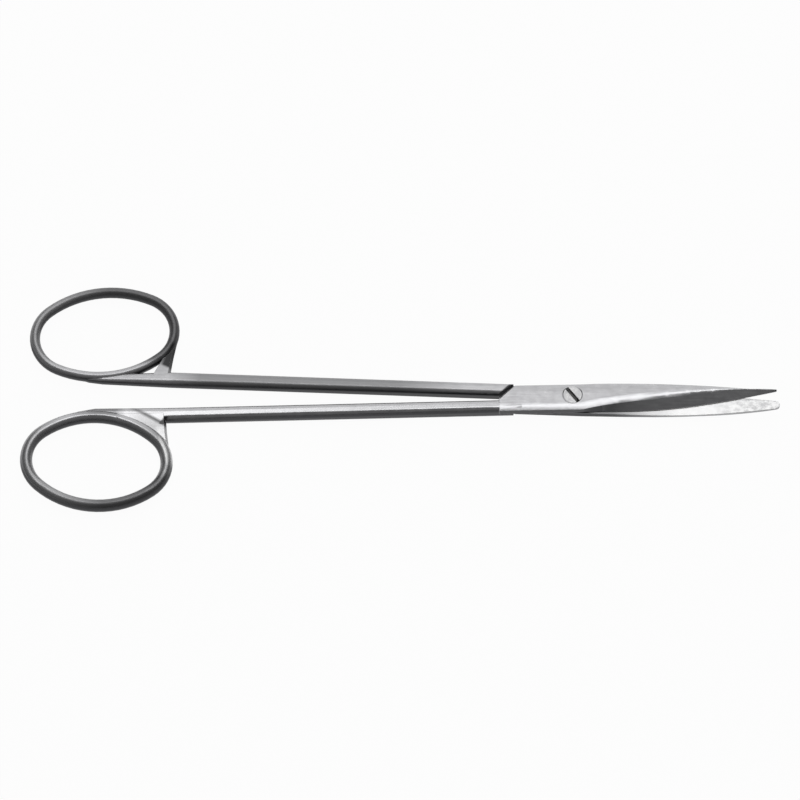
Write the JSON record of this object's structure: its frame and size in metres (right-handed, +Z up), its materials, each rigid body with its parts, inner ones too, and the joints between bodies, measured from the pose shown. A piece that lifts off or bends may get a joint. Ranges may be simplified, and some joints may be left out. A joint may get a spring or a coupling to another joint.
{
  "type": "dissecting scissors",
  "caption": "Slim finger-ring dissecting scissors with one sharp and one blunt blade, lapped on a slotted pivot screw.",
  "frame": {"origin": "the pivot axis where it meets the plane of the joint's underside, on which the scissors lie", "axes": "+X from the pivot towards the tips, +Z up out of the slotted screw head, +Y towards the blunt half's finger bow"},
  "size_m": [0.1445, 0.0481, 0.0036],
  "materials": {
    "polished_steel": "satin polished stainless steel",
    "screw_steel": "turned stainless steel, slightly duller than the halves"
  },
  "bodies": {
    "blunt_half": {"blunt_half": "polished_steel", "pivot_screw": "screw_steel"},
    "sharp_half": {"sharp_half": "polished_steel"}
  },
  "joints": [
    {"name": "pivot", "type": "hinge", "parent": "blunt_half", "child": "sharp_half", "pos_m": [0, 0, 0.0015], "axis": [0, 0, 1], "range_deg": [-3.3, 60]}
  ]
}
